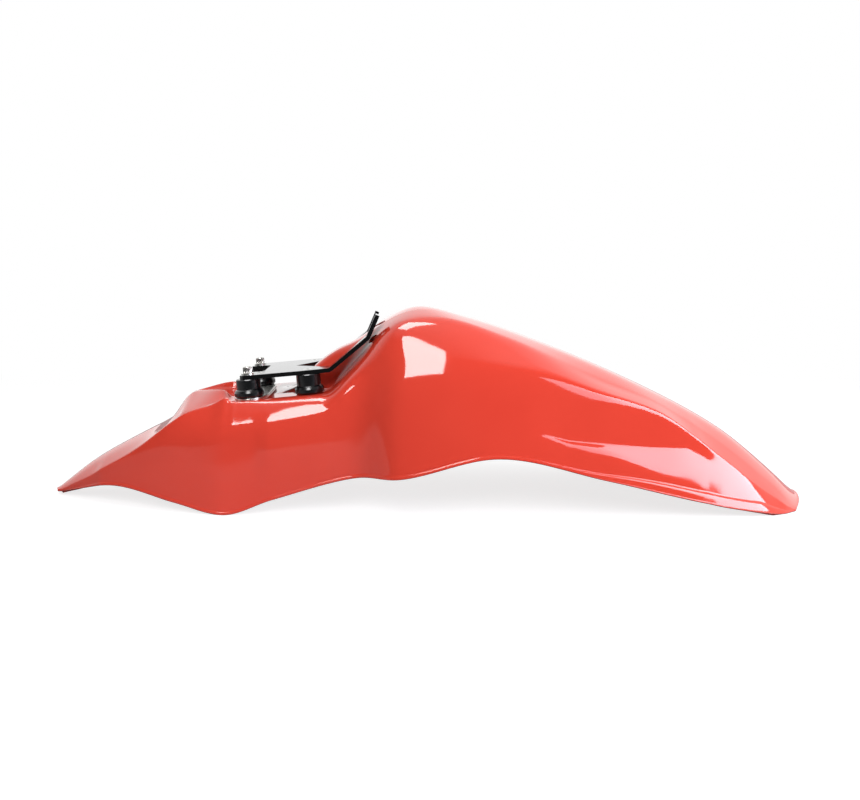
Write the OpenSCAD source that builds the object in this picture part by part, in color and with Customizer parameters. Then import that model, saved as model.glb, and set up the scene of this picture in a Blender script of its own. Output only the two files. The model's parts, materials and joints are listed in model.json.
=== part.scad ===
// Motorcycle front mudguard of the high, off-road kind, with its steel mounting bracket.
// It lies on the floor as it left the box: nose toward +X, tail toward -X, up is +Z.
// The origin is on the floor, in the middle of the length and of the width.
// All lengths are in millimetres and all angles in degrees.

/* [Shell length] */
// From the origin back to the tip of the tail
rear_reach = 368; // [340:1:400]
// From the origin forward to the tip of the nose
front_reach = 368; // [340:1:400]
// From the origin back to the step behind the bracket
seat_back = 188; // [180:1:200]
// From the origin back to the fork channel, where the shell widens
channel_back = 60; // [50:1:66]
// From the origin back to the highest point of the shell
crown_back = 8; // [0:1:14]

/* [Shell height] */
// Highest point of the shell above the floor
crown_h = 187.5; // [175:0.5:200]
// Top of the deck at the rear mounts
deck_h = 100.5; // [95:0.5:104]
// Top of the hump behind the bracket
hump_h = 108; // [105:0.5:114]
// Top face of the tail at its tip
tail_tip_h = 4.5; // [3.5:0.1:8]
// Lower edge of the side wall at its highest point, in front of the forks
arch_h = 57; // [45:0.5:70]
// How far the lobes beside the bracket stand above the deck
lobe_rise = 5.5; // [3:0.25:7]

/* [Shell width] */
// Half the width of the shell at its widest
front_half_w = 101; // [92:0.5:110]
// Half the width at the lobes beside the bracket
lobe_half_w = 74; // [68:0.5:80]
// Half the width of the nose where it rests on the floor
nose_half_w = 61; // [52:0.5:70]
// Half the width of the tail at its tip
tail_half_w = 8; // [5:0.5:12]
// How far the corners of the nose lie behind its tip
nose_round = 31; // [20:0.5:40]

/* [Shell wall] */
// Wall of the moulding
wall = 3; // [2.4:0.1:3.6]
// Height of the stiffening lip along the lower edge of the nose
lip_h = 8; // [5:0.5:11]
// How far the lip stands out
lip_out = 1.2; // [0.5:0.1:2]

/* [Hump] */
// Half the distance between the two ridges of the hump
ridge_half_gap = 29; // [24:0.5:33]
// Half the width of the hump at its foot
hump_half_w = 58; // [54:0.5:62]
// From the step behind the bracket back to the tip of the V-shaped pocket
pocket_len = 41; // [34:0.5:44]
// Depth of the pocket at its tip
pocket_deep = 6; // [4:0.25:8]
// Length of the slope that steps down from the hump to the deck
step_len = 8; // [6:0.5:12]
// Length of the slope that leads into the pocket from behind
lead_len = 7; // [5:0.5:9]
// Height of that slope
lead_rise = 4; // [2:0.25:6]

/* [Crown] */
// Half the width of the raised middle between the front mounts
bulge_half_w = 15; // [13:0.5:17]
// Clearance between that middle and the feet of the front mounts
bulge_gap = 1.5; // [0.5:0.25:3]
// Half the width of the flat top along the crown
top_half_w = 30; // [26:0.5:36]

/* [Bracket] */
// Thickness of the steel plate
plate = 4; // [3:0.1:5]
// Slope of the plate, front end up
tilt = 5; // [3:0.25:7]
// Half the width of the plate
plate_half_w = 50; // [48:0.5:54]
// From the rear screws to the bend at the root of the arms
bend_ahead = 76; // [74:0.5:80]
// From the rear screws to the back end of the legs
leg_tail = 6.5; // [6:0.25:9]
// Chamfer at the back corners of the legs
leg_chamfer = 3; // [1:0.5:5]
// Half the width of the notch between the legs
notch_half_w = 27; // [24:0.25:29]
// Depth of the notch between the legs
notch_deep = 20; // [16:0.5:24]
// Corner radius of that notch
notch_r = 6; // [3:0.5:8]
// Depth of the V-shaped notch between the arms
vee_deep = 34; // [32:0.5:35]
// Half the distance between the inner edges of the arms
arm_half_gap = 27; // [24:0.25:29]
// Width of each arm
arm_w = 21; // [18:0.5:22]
// Slope of the lower stretch of the arms
arm_slope = 40; // [35:0.5:45]
// Length of the lower stretch of the arms
arm_low_len = 43; // [40:0.5:46]
// Slope of the upper stretch of the arms
arm_tip_slope = 67; // [60:0.5:75]
// Length of the upper stretch of the arms
arm_tip_len = 21.5; // [20:0.5:24]
// Inside radius of each bend
bend_r = 5; // [4:0.25:7]
// From the end of each arm down to the hole in its tip
tip_hole_inset = 10; // [8:0.5:12]
// Diameter of the hole in the tip of each arm
tip_hole_d = 8.4; // [6.4:0.1:10]

/* [Rubber mounts] */
// Half the distance between left and right mounts
mount_half_gap = 40; // [39:0.25:41]
// Distance between rear and front mounts
mount_pitch = 57; // [54:0.5:60]
// From the origin back to the rear mounts
rear_mount_back = 169.5; // [169:0.5:171]
// Diameter of the upper part of a rubber mount
neck_d = 23; // [20:0.25:24]
// Diameter of the foot of a rubber mount
foot_d = 28; // [26:0.25:30]
// Height of the foot of a rubber mount
foot_h = 8; // [6:0.25:10]
// From the deck up to the underside of the plate
mount_h = 19; // [18:0.25:21]
// Rounding of the rubber edges
foot_round = 2; // [1:0.25:2.5]
// Outer diameter of the steel sleeve in each rubber mount
sleeve_d = 9; // [8:0.25:11]
// Thickness of the steel strap under the rear mounts
strap_t = 1.5; // [1:0.1:2]
// Width of that strap
strap_w = 32; // [30:0.5:34]

/* [Screws] */
// Diameter of the screw shanks
screw_d = 5; // [4:0.1:6]
// Clearance round a screw shank
screw_gap = 0.2; // [0.1:0.05:0.4]
// Diameter of the knurled heads
head_d = 8.5; // [8:0.1:10]
// Height of the knurled heads
head_h = 6; // [5:0.1:7]
// Diameter of the countersunk heads
flat_head_d = 9.5; // [9:0.1:11]
// Height of the countersunk heads
flat_head_h = 2.6; // [2.2:0.1:2.8]
// Depth of the hexagon sockets
socket_deep = 2; // [1.2:0.1:2.4]
// Width across the flats of the hexagon socket
socket_af = 3; // [2.5:0.1:4]
// Width across the flats of the lock nuts
nut_af = 8; // [8:0.1:10]
// Height of the lock nuts
nut_h = 5; // [4:0.1:6]
// How far a screw stands out of its nut
screw_out = 1.5; // [0.5:0.1:3]
// Outer diameter of the washers under the knurled heads
top_washer_d = 12; // [10:0.25:13]
// Outer diameter of the washers under the shell
washer_d = 18; // [14:0.25:20]
// Thickness of the washers
washer_t = 1.2; // [0.8:0.1:2]
// Clearance between the inner face of the shell and the washers there
washer_gap = 0.1; // [0.05:0.05:0.3]
// Chamfer round the top of the knurled heads
head_chamfer = 0.4; // [0.2:0.05:0.6]

/* [Hidden] */

// Stations along the shell, each as a share of the way between two named ones.
function tail_x(f) = -seat_back - f * (rear_reach - seat_back);
function seat_x(f) = -seat_back + f * (seat_back - channel_back);
function crest_x(f) = -channel_back + f * (channel_back - crown_back);
function front_x(f) = -crown_back + f * (crown_back + front_reach);
// Heights, each as a share of the way between two named ones.
function tail_h(f) = tail_tip_h + f * (deck_h - tail_tip_h);
function rise_h(f) = deck_h + f * (crown_h - deck_h);

// Smooth curve through knots [x, value], without overshoot.
function knot_before(k, x, i = 0) = i >= len(k) - 2 || x < k[i + 1][0] ? i : knot_before(k, x, i + 1);
function rise(k, i) = (k[i + 1][1] - k[i][1]) / (k[i + 1][0] - k[i][0]);
function tangent(k, i) =
    i == 0 ? rise(k, 0)
    : i == len(k) - 1 ? rise(k, i - 1)
    : rise(k, i - 1) * rise(k, i) <= 0 ? 0
    : 2 / (1 / rise(k, i - 1) + 1 / rise(k, i));
function curve(k, x) =
    let (
        i = knot_before(k, x),
        w = k[i + 1][0] - k[i][0],
        t = max(0, min(1, (x - k[i][0]) / w)),
        a = tangent(k, i) * w,
        b = tangent(k, i + 1) * w,
        step = k[i + 1][1] - k[i][1]
    )
    k[i][1] + t * (a + t * (3 * step - 2 * a - b + t * (a + b - 2 * step)));
function mix(a, b, t) = a + (b - a) * t;

// The deck is flat and slopes with the plate.
function deck_z(x) = deck_h + (x + rear_mount_back) * tan(tilt);
front_mount_x = -rear_mount_back + mount_pitch * cos(tilt);
foot_front = front_mount_x + foot_d / 2;

// Side view of the bent strip, as the middle line of its thickness.
mid_r = bend_r + plate / 2;
mid_h = mount_h + plate / 2;
function turn(p, a, b, n = 6) =
    [for (i = [0:n]) let (t = mix(a, b, i / n)) p + mid_r * [sin(t) - sin(a), cos(a) - cos(t)]];
function ahead(p, a, l) = p + l * [cos(a), sin(a)];
low_a = arm_slope - tilt;
tip_a = arm_tip_slope - tilt;
function last(v) = v[len(v) - 1];
root_turn = turn([bend_ahead, 0], 0, low_a);
elbow_turn = turn(ahead(last(root_turn), low_a, arm_low_len), low_a, tip_a);
arm_end = ahead(last(elbow_turn), tip_a, arm_tip_len);
hole_at = ahead(last(elbow_turn), tip_a, arm_tip_len - tip_hole_inset);
strip_line = concat([[-leg_tail, 0]], root_turn, elbow_turn, [arm_end]);
// Under the arms the shell keeps its distance from them: these stations and heights are shares
// of the way from the front mounts, at the deck, to the holes in the arm tips.
hole_h = (hole_at[1] + mid_h) * cos(tilt) + hole_at[0] * sin(tilt);
hole_x = -rear_mount_back + hole_at[0] * cos(tilt) - (hole_at[1] + mid_h) * sin(tilt);
function arm_x(f) = mix(front_mount_x, hole_x, f);
function arm_h(f) = deck_h + f * hole_h;

// Long lines of the shell, from the middle outward. Heights are above the floor,
// half widths are shares of the named ones.
pocket_tip = -seat_back - pocket_len;
pocket_lead = pocket_tip - lead_len;
ridge_end = -seat_back - step_len;
deck_back = -seat_back + 1;
deck_front = foot_front + 2;
tip_h = hump_h - pocket_deep;
lead_h = tip_h - lead_rise;
// Rises a little above the deck where the pocket's floor comes out over the step.
step_z = deck_z(-seat_back) + wall / 3;
lobe_top = deck_z(-seat_back) + lobe_rise;
spine_z = [
    [tail_x(1), tail_tip_h], [tail_x(0.77), tail_h(0.332)], [tail_x(0.5), tail_h(0.611)],
    [tail_x(0.33), tail_h(0.78)], [pocket_lead, lead_h], [pocket_tip, tip_h],
    [ridge_end, step_z], [deck_back, deck_z(deck_back)],
    [seat_x(0.3), deck_z(seat_x(0.3))], [seat_x(0.445), deck_z(seat_x(0.445)) + 3],
    [arm_x(0.09), arm_h(0.439)], [arm_x(0.45), arm_h(0.649)], [arm_x(0.725), arm_h(0.752)],
    [arm_x(0.96), arm_h(0.9)], [arm_x(1.09), arm_h(0.992)], [crest_x(0.71), rise_h(0.954)],
    [-crown_back, crown_h],
    [front_x(0.12), 0.947 * crown_h], [front_x(0.343), 0.792 * crown_h],
    [front_x(0.6), 0.568 * crown_h], [front_x(0.79), 0.36 * crown_h],
    [front_x(0.918), 0.152 * crown_h], [front_x(0.981), 0.035 * crown_h], [front_x(1), 1.5]
];
shoulder_z = [
    [tail_x(1), tail_tip_h], [tail_x(0.51), tail_h(0.487)], [tail_x(0.21), tail_h(0.884)],
    [tail_x(0.08), tail_h(0.965)], [tail_x(0), lobe_top],
    [deck_back + 3, deck_z(deck_back + 3) + 0.5], [seat_x(0.15), deck_z(seat_x(0.15))],
    [seat_x(0.4), deck_z(seat_x(0.4))], [deck_front - 6, deck_z(deck_front - 6)],
    [deck_front, deck_z(deck_front)], [arm_x(0.386), arm_h(0.15)], [arm_x(0.577), arm_h(0.31)],
    [arm_x(0.842), arm_h(0.54)], [arm_x(1), arm_h(0.71)], [crest_x(0.4), rise_h(0.75)],
    [crest_x(0.71), rise_h(0.85)],
    [front_x(0.04), 0.945 * crown_h],
    [front_x(0.22), 0.84 * crown_h], [front_x(0.44), 0.635 * crown_h],
    [front_x(0.57), 0.535 * crown_h], [front_x(0.687), 0.395 * crown_h],
    [front_x(0.772), 0.286 * crown_h], [front_x(0.872), 0.148 * crown_h],
    [front_x(0.95), 0.052 * crown_h], [front_x(1), 1]
];
crease_z = [
    [tail_x(1), tail_tip_h - 0.8], [tail_x(0.51), tail_h(0.33)], [tail_x(0), tail_h(0.55)],
    [seat_x(0.8), tail_h(0.68)], [crest_x(0.2), 0.52 * crown_h], [crest_x(0.6), 0.64 * crown_h],
    [front_x(0.07), 0.71 * crown_h], [front_x(0.226), 0.708 * crown_h],
    [front_x(0.433), 0.595 * crown_h], [front_x(0.57), 0.5 * crown_h],
    [front_x(0.687), 0.338 * crown_h], [front_x(0.772), 0.23 * crown_h],
    [front_x(0.872), 0.103 * crown_h], [front_x(0.95), 0.041 * crown_h], [front_x(1), 0.6]
];
edge_z = [
    [tail_x(1), tail_tip_h - 1.5], [tail_x(0.59), 0.333 * arch_h], [tail_x(0.26), 0.153 * arch_h],
    [tail_x(0), 0], [seat_x(0.336), 0.228 * arch_h], [seat_x(1), 0.604 * arch_h],
    [crest_x(0.52), 0.642 * arch_h], [front_x(0.173), arch_h], [front_x(0.43), 0.637 * arch_h],
    [front_x(0.75), 0.153 * arch_h], [front_x(0.95), 0.6], [front_x(1), 0]
];
edge_y = [
    [tail_x(1), tail_half_w], [tail_x(0.67), 0.54 * lobe_half_w], [tail_x(0.2), 0.92 * lobe_half_w],
    [tail_x(0), lobe_half_w], [seat_x(0.6), 0.973 * lobe_half_w], [seat_x(0.95), 0.973 * lobe_half_w],
    [crest_x(0.52), 0.94 * front_half_w], [front_x(0.12), front_half_w],
    [front_x(0.42), 0.95 * front_half_w], [front_x(0.75), 0.83 * front_half_w],
    [front_x(0.95), 1.2 * nose_half_w], [front_x(1), nose_half_w]
];
crease_share = [
    [tail_x(1), 0.99], [tail_x(0), 1], [seat_x(0.6), 0.995], [seat_x(0.95), 0.97],
    [crest_x(0.52), 0.89], [front_x(0.2), 0.86], [front_x(0.42), 0.86], [front_x(0.56), 0.82],
    [front_x(0.68), 0.8], [front_x(0.9), 0.79], [front_x(1), 0.97]
];
shoulder_share = [
    [tail_x(1), 0.97], [tail_x(0.4), 0.92], [tail_x(0), 0.78], [seat_x(0.2), 0.79],
    [seat_x(0.45), 0.85], [seat_x(0.65), 0.875], [seat_x(0.95), 0.82], [crest_x(0.52), 0.67],
    [front_x(0.05), 0.63], [front_x(0.6), 0.6], [front_x(0.9), 0.62], [front_x(1), 0.9]
];
// The haunch rounds the wall between shoulder and crease: how far down it lies and how far out,
// as shares of the way between those two.
haunch_drop = [
    [tail_x(1), 0.5], [tail_x(0.3), 0.45], [tail_x(0), 0.5], [seat_x(0.3), 0.42], [seat_x(0.6), 0.33],
    [seat_x(0.85), 0.24], [crest_x(0.3), 0.5], [front_x(1), 0.5]
];
haunch_out = [
    [tail_x(1), 0.5], [tail_x(0.3), 0.74], [tail_x(0), 0.84], [seat_x(0.3), 0.84], [seat_x(0.85), 0.78],
    [crest_x(0.3), 0.56], [front_x(0.3), 0.56], [front_x(0.6), 0.52], [front_x(1), 0.5]
];
// The haunch runs straight on under the rise of the lobes.
haunch_bump = [[tail_x(0.3), 0], [tail_x(0), lobe_rise], [deck_back + 3, 0]];
// The raised middle between the front mounts keeps clear of their feet.
bulge_foot = mount_half_gap - foot_d / 2 - bulge_gap;
// The ridge is the rim of the pocket behind the bracket, and further on the edge of the
// raised middle between the arms.
ridge_y = [
    [tail_x(1), 0.35 * tail_half_w], [tail_x(0.5), 0.4 * ridge_half_gap],
    [pocket_lead, 0.28 * ridge_half_gap], [pocket_tip, 0.2 * ridge_half_gap],
    [ridge_end, ridge_half_gap], [deck_back, ridge_half_gap], [seat_x(0.4), 0.93 * bulge_half_w],
    [arm_x(0.09), bulge_half_w], [arm_x(0.725), 1.13 * bulge_half_w],
    [arm_x(1), 0.7 * top_half_w], [crest_x(0.6), top_half_w], [front_x(0.2), top_half_w],
    [front_x(1), 0.4 * nose_half_w]
];
ridge_z = [
    [tail_x(0.34), tail_h(0.77)], [pocket_lead, lead_h], [pocket_tip, tip_h],
    [ridge_end, hump_h], [deck_back, deck_z(deck_back)], [seat_x(0.15), deck_z(seat_x(0.15))],
    [seat_x(0.3), deck_z(seat_x(0.3))], [seat_x(0.445), deck_z(seat_x(0.445)) + 2.5],
    [arm_x(0.09), arm_h(0.41)], [arm_x(0.45), arm_h(0.628)], [arm_x(0.725), arm_h(0.727)],
    [arm_x(0.96), arm_h(0.876)], [arm_x(1.09), arm_h(0.976)], [crest_x(0.71), rise_h(0.94)],
    [-crown_back, rise_h(0.975)]
];
foot_y = [
    [tail_x(1), 0.7 * tail_half_w], [tail_x(0.5), 0.55 * hump_half_w],
    [pocket_lead, 0.79 * hump_half_w], [pocket_tip, 0.95 * hump_half_w],
    [ridge_end, hump_half_w], [deck_back, 0.965 * hump_half_w], [seat_x(0.2), 0.69 * hump_half_w],
    [seat_x(0.4), bulge_foot], [deck_front - 4, bulge_foot], [arm_x(0.725), bulge_foot + 4],
    [arm_x(1), 1.2 * top_half_w], [crest_x(0.6), 1.6 * top_half_w],
    [front_x(0.2), 1.67 * top_half_w], [front_x(1), 0.75 * nose_half_w]
];
foot_z = [
    [tail_x(0.34), tail_h(0.76)], [pocket_lead, tail_h(0.84)], [pocket_tip, tail_h(0.895)],
    [ridge_end, deck_z(ridge_end)], [deck_back, deck_z(deck_back)],
    [seat_x(0.2), deck_z(seat_x(0.2))], [seat_x(0.4), deck_z(seat_x(0.4))],
    [deck_front - 6, deck_z(deck_front - 6)], [deck_front, deck_z(deck_front)],
    [arm_x(0.45), arm_h(0.236)], [arm_x(0.725), arm_h(0.5)], [arm_x(0.873), arm_h(0.63)],
    [arm_x(1), arm_h(0.8)], [crest_x(0.4), rise_h(0.82)], [crest_x(0.71), rise_h(0.895)],
    [-crown_back, rise_h(0.937)]
];
// How much the top follows its ridge and foot lines: nothing on the plain crowned stretches.
relief = [[tail_x(0.34), 0], [tail_x(0.3), 1], [crest_x(0.35), 1], [-crown_back, 0]];
pocket_depth = [[pocket_lead, 0], [pocket_tip, 1], [ridge_end, 1], [deck_back, 0]];
// How round the section is at the shoulder and at the crease: 0 is sharp, 0.5 fully round.
shoulder_soft = [
    [tail_x(1), 0.4], [tail_x(0.7), 0.12], [tail_x(0.5), 0.05], [seat_x(0.1), 0.06],
    [seat_x(0.3), 0.2], [deck_front - 8, 0.28], [seat_x(0.8), 0.5], [front_x(1), 0.5]
];
// The edge of the raised middle is sharpest where it runs on past the arm tips to the crown.
ridge_soft = [[arm_x(0.7), 0.5], [arm_x(1), 0.15], [crest_x(0.7), 0.15], [front_x(0.06), 0.5]];
// At the foot of the raised middle it stays tight, so that the rubber feet seat on flat deck.
foot_soft = [[seat_x(0.1), 0.3], [seat_x(0.3), 0.06], [deck_front, 0.06], [seat_x(0.93), 0.3]];
crease_soft = [
    [tail_x(1), 0.5], [front_x(0.15), 0.5], [front_x(0.5), 0.2], [front_x(0.8), 0.12], [front_x(1), 0.3]
];
// The lip along the lower edge: plain in the tail, full height in the nose.
lip_share = [
    [tail_x(1), 0.3], [front_x(0.3), 0.35], [front_x(0.6), 1], [front_x(0.9), 0.8], [front_x(1), 0.05]
];
// How far the ends of a row are drawn toward the middle of the shell, so that nose and tail are round.
tail_round = 3;
nose_draw = [[front_x(0.68), 0], [front_x(0.85), 0.35], [front_x(1), 1]];
tail_draw = [[tail_x(1), 1], [tail_x(0.9), 0.25], [tail_x(0.7), 0]];

// Control points of one half section, from the middle outward, as [y, z].
function controls(x) =
    let (
        sz = curve(spine_z, x),
        ey = curve(edge_y, x),
        ez = curve(edge_z, x),
        ky = ey * curve(shoulder_share, x),
        kz = curve(shoulder_z, x),
        cy = ey * curve(crease_share, x),
        cz = curve(crease_z, x),
        hy = mix(ky, cy, curve(haunch_out, x)),
        hz = mix(kz - curve(haunch_bump, x), cz, curve(haunch_drop, x)),
        m = curve(relief, x),
        d = curve(pocket_depth, x),
        ry = min(curve(ridge_y, x), 0.6 * ky),
        fy = min(curve(foot_y, x), 0.88 * ky),
        rz = mix(kz + (sz - kz) * (1 - pow(ry / ky, 2)), curve(ridge_z, x), m),
        fz = mix(kz + (sz - kz) * (1 - pow(fy / ky, 2)), curve(foot_z, x), m),
        py = ry - mix(0.5 * ry, min(3, 0.5 * ry), d),
        pz = mix(sz + 0.25 * (rz - sz), sz, d),
        share = min(0.35, lip_h * curve(lip_share, x) / max(1, cz - ez)),
        ly = mix(ey, cy, share) - lip_out * min(1, curve(lip_share, x)),
        lz = mix(ez, cz, share)
    )
    [[0, sz], [py, pz], [ry, rz], [fy, fz], [ky, kz], [hy, hz], [cy, cz], [ly, lz], [ey, ez]];
// Softness of the corner at each control point, and how many points round it.
function softness(x) =
    let (d = curve(pocket_depth, x), m = curve(relief, x))
    [0, mix(0.5, 0.25, d), mix(curve(ridge_soft, x), 0.2, d), mix(0.5, curve(foot_soft, x), m),
     curve(shoulder_soft, x), 0.5, curve(crease_soft, x), 0.15, 0];
ROUND = [0, 2, 2, 2, 2, 2, 2, 1, 0];
function corner(a, p, b, s, n) =
    [for (i = [0:n]) let (t = i / n, q = p + (a - p) * s, r = p + (b - p) * s)
        (1 - t) * (1 - t) * q + 2 * t * (1 - t) * p + t * t * r];
function half_section(x) =
    let (c = controls(x), s = softness(x), last = len(c) - 1)
    concat(
        [c[0]],
        [for (k = [1:last - 1]) each corner(c[k - 1], c[k], c[k + 1], s[k], ROUND[k])],
        [c[last]]
    );
// One row of points across the shell, from the right edge over the middle to the left edge.
function placed(x, q) =
    let (
        nose = nose_round * curve(nose_draw, x) * pow(q[0] / nose_half_w, 1.4),
        tail = tail_round * curve(tail_draw, x) * pow(q[0] / tail_half_w, 2)
    )
    [x - nose + tail, q[0], q[1]];
function row(x) =
    let (h = half_section(x), n = len(h))
    [for (j = [-(n - 1):n - 1]) let (q = placed(x, h[abs(j)])) [q[0], sign(j) * q[1], q[2]]];

function steps(a, b, n) = [for (i = [0:n - 1]) a + (b - a) * i / n];
STATIONS = concat(
    steps(tail_x(1), tail_x(0.9), 3),
    steps(tail_x(0.9), tail_x(0.34), 8),
    steps(tail_x(0.34), pocket_tip, 6),
    steps(pocket_tip, ridge_end, 5),
    steps(ridge_end, deck_back, 4),
    steps(deck_back, seat_x(0.4), 5),
    steps(seat_x(0.4), deck_front, 4),
    steps(deck_front, seat_x(1), 7),
    steps(-channel_back, crest_x(0.6), 6),
    steps(crest_x(0.6), front_x(0.1), 4),
    steps(front_x(0.1), front_x(0.75), 10),
    steps(front_x(0.75), front_x(1), 7),
    [front_x(1)]
);
OUTSIDE = [for (x = STATIONS) row(x)];
ROWS = len(OUTSIDE);
COLS = len(OUTSIDE[0]);

function unit(v) = v / norm(v);
function outward(i, j) =
    let (
        along = OUTSIDE[min(i + 1, ROWS - 1)][j] - OUTSIDE[max(i - 1, 0)][j],
        across = OUTSIDE[i][min(j + 1, COLS - 1)] - OUTSIDE[i][max(j - 1, 0)]
    )
    unit(cross(along, across));
// The rims are cut level, so the inner face meets them straight across.
function inner_point(i, j) =
    let (n = outward(i, j), rim = j == 0 || j == COLS - 1 || i == 0 || i == ROWS - 1)
    OUTSIDE[i][j] - wall * (rim ? unit([n[0], n[1], 0]) : n);

module shell_skin() {
    points = concat(
        [for (i = [0:ROWS - 1], j = [0:COLS - 1]) OUTSIDE[i][j]],
        [for (i = [0:ROWS - 1], j = [0:COLS - 1]) inner_point(i, j)]
    );
    inner = ROWS * COLS;
    function at(i, j) = i * COLS + j;
    faces = concat(
        [for (i = [0:ROWS - 2], j = [0:COLS - 2])
            each [[at(i, j), at(i, j + 1), at(i + 1, j + 1)], [at(i, j), at(i + 1, j + 1), at(i + 1, j)]]],
        [for (i = [0:ROWS - 2], j = [0:COLS - 2])
            each [[inner + at(i, j), inner + at(i + 1, j + 1), inner + at(i, j + 1)],
                  [inner + at(i, j), inner + at(i + 1, j), inner + at(i + 1, j + 1)]]],
        [for (i = [0:ROWS - 2]) let (a = at(i, 0), b = at(i + 1, 0))
            each [[a, b, inner + b], [a, inner + b, inner + a]]],
        [for (i = [0:ROWS - 2]) let (a = at(i, COLS - 1), b = at(i + 1, COLS - 1))
            each [[a, inner + b, b], [a, inner + a, inner + b]]],
        [for (j = [0:COLS - 2]) let (a = at(0, j), b = at(0, j + 1))
            each [[a, inner + b, b], [a, inner + a, inner + b]]],
        [for (j = [0:COLS - 2]) let (a = at(ROWS - 1, j), b = at(ROWS - 1, j + 1))
            each [[a, b, inner + b], [a, inner + b, inner + a]]]
    );
    polyhedron(points, faces);
}

// The bracket and its mounts share one frame: x runs forward along the plate from the rear
// screws, and z is square to the deck with 0 on the deck.
module on_deck() {
    translate([-rear_mount_back, 0, deck_h]) rotate([0, -tilt, 0]) children();
}
// Moves a piece to one of the four mounts: fore is 0 for rear and 1 for front.
module at_mount(fore, side) {
    on_deck() translate([fore * mount_pitch, side * mount_half_gap, 0]) children();
}
hole_d = screw_d + 2 * screw_gap;
module screw_hole(h) {
    cylinder(d = hole_d, h = h, $fn = 32);
}
// From the deck down to the lower face of the washers under the shell.
under_washer_base = wall + washer_gap + washer_t;
LEFT = 1;
RIGHT = -1;

module mudguard_shell() {
    color("tomato")
    difference() {
        shell_skin();
        for (fore = [0, 1], side = [LEFT, RIGHT])
            at_mount(fore, side) translate([0, 0, -4 * wall]) screw_hole(8 * wall);
    }
}

function heading(v, i) =
    let (d = v[min(i + 1, len(v) - 1)] - v[max(i - 1, 0)])
    i > 0 && i < len(v) - 1 ? unit(unit(v[i + 1] - v[i]) + unit(v[i] - v[i - 1])) : unit(d);
module strip_side() {
    side = [for (i = [0:len(strip_line) - 1]) let (d = heading(strip_line, i)) [-d[1], d[0]] * plate / 2];
    polygon(concat(
        [for (i = [0:len(strip_line) - 1]) strip_line[i] + side[i]],
        [for (i = [len(strip_line) - 1:-1:0]) strip_line[i] - side[i]]
    ));
}
// Plan view of the bracket: two legs behind, two arms ahead.
module bracket_plan() {
    far = arm_end[0] + plate;
    vee_tip = bend_ahead - vee_deep;
    vee_mouth = bend_ahead - 8;
    arm_out = arm_half_gap + arm_w;
    taper = bend_ahead - arm_w;
    chamfer_in = plate_half_w - leg_chamfer;
    difference() {
        polygon([
            [-leg_tail, -chamfer_in], [-leg_tail + leg_chamfer, -plate_half_w],
            [taper, -plate_half_w], [bend_ahead, -arm_out], [far, -arm_out],
            [far, arm_out], [bend_ahead, arm_out], [taper, plate_half_w],
            [-leg_tail + leg_chamfer, plate_half_w], [-leg_tail, chamfer_in]
        ]);
        hull() {
            translate([-leg_tail - 1, -notch_half_w]) square([1, 2 * notch_half_w]);
            for (side = [LEFT, RIGHT])
                translate([-leg_tail + notch_deep - notch_r, side * (notch_half_w - notch_r - 2)])
                    circle(r = notch_r, $fn = 32);
        }
        polygon([
            [vee_tip, 0], [vee_mouth, -arm_half_gap], [far + 1, -arm_half_gap],
            [far + 1, arm_half_gap], [vee_mouth, arm_half_gap]
        ]);
    }
}
module mounting_bracket() {
    color([0.12, 0.13, 0.15])
    difference() {
        on_deck() intersection() {
            translate([0, plate_half_w + 1, mid_h])
                rotate([90, 0, 0]) linear_extrude(2 * plate_half_w + 2) strip_side();
            linear_extrude(mount_h + plate + arm_end[1] + plate) bracket_plan();
        }
        for (side = [LEFT, RIGHT]) {
            for (fore = [0, 1])
                at_mount(fore, side) translate([0, 0, mount_h - 1]) screw_hole(plate + 2);
            at_mount(1, side) translate([0, 0, mount_h + plate - flat_head_h])
                cylinder(d1 = hole_d, d2 = flat_head_d + 2 * screw_gap, h = flat_head_h, $fn = 32);
            on_deck() translate([hole_at[0], side * (arm_half_gap + arm_w / 2), hole_at[1] + mid_h])
                rotate([0, -tip_a, 0]) translate([0, 0, -plate])
                    cylinder(d = tip_hole_d, h = 2 * plate, $fn = 32);
        }
    }
}

// Rubber bush with a wide foot, bored for its steel sleeve.
module rubber_mount(base) {
    bore_r = sleeve_d / 2;
    foot_r = foot_d / 2;
    neck_r = neck_d / 2;
    top = mount_h - base;
    edge = foot_round / 3;
    color([0.05, 0.05, 0.06])
    translate([0, 0, base]) rotate_extrude($fn = 48) polygon([
        [bore_r, 0], [foot_r - foot_round, 0], [foot_r, foot_round], [foot_r, foot_h - 1.5 * foot_round],
        [foot_r - foot_round / 2, foot_h - foot_round / 2], [neck_r, foot_h],
        [neck_r, top - edge], [neck_r - edge, top], [bore_r, top]
    ]);
}
// Steel sleeve that takes the squeeze of the screw.
module sleeve(base) {
    color("silver")
    translate([0, 0, base]) difference() {
        cylinder(d = sleeve_d, h = mount_h - base, $fn = 48);
        translate([0, 0, -1]) screw_hole(mount_h + 2);
    }
}
module washer(d) {
    color("silver")
    difference() {
        cylinder(d = d, h = washer_t, $fn = 48);
        translate([0, 0, -1]) screw_hole(washer_t + 2);
    }
}
module top_washer() {
    translate([0, 0, mount_h + plate]) washer(top_washer_d);
}
module under_washer() {
    translate([0, 0, -under_washer_base]) washer(washer_d);
}
// Strap that spreads the load of the two rear mounts on the deck.
module rear_strap() {
    end_d = 0.81 * strap_w;
    straight = 0.8 * mount_half_gap;
    color("gainsboro")
    difference() {
        on_deck() linear_extrude(strap_t) hull() {
            for (side = [LEFT, RIGHT])
                translate([0, side * mount_half_gap]) circle(d = end_d, $fn = 48);
            translate([-strap_w / 2, -straight]) square([strap_w, 2 * straight]);
        }
        for (side = [LEFT, RIGHT]) at_mount(0, side) translate([0, 0, -1]) screw_hole(strap_t + 2);
    }
}
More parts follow.
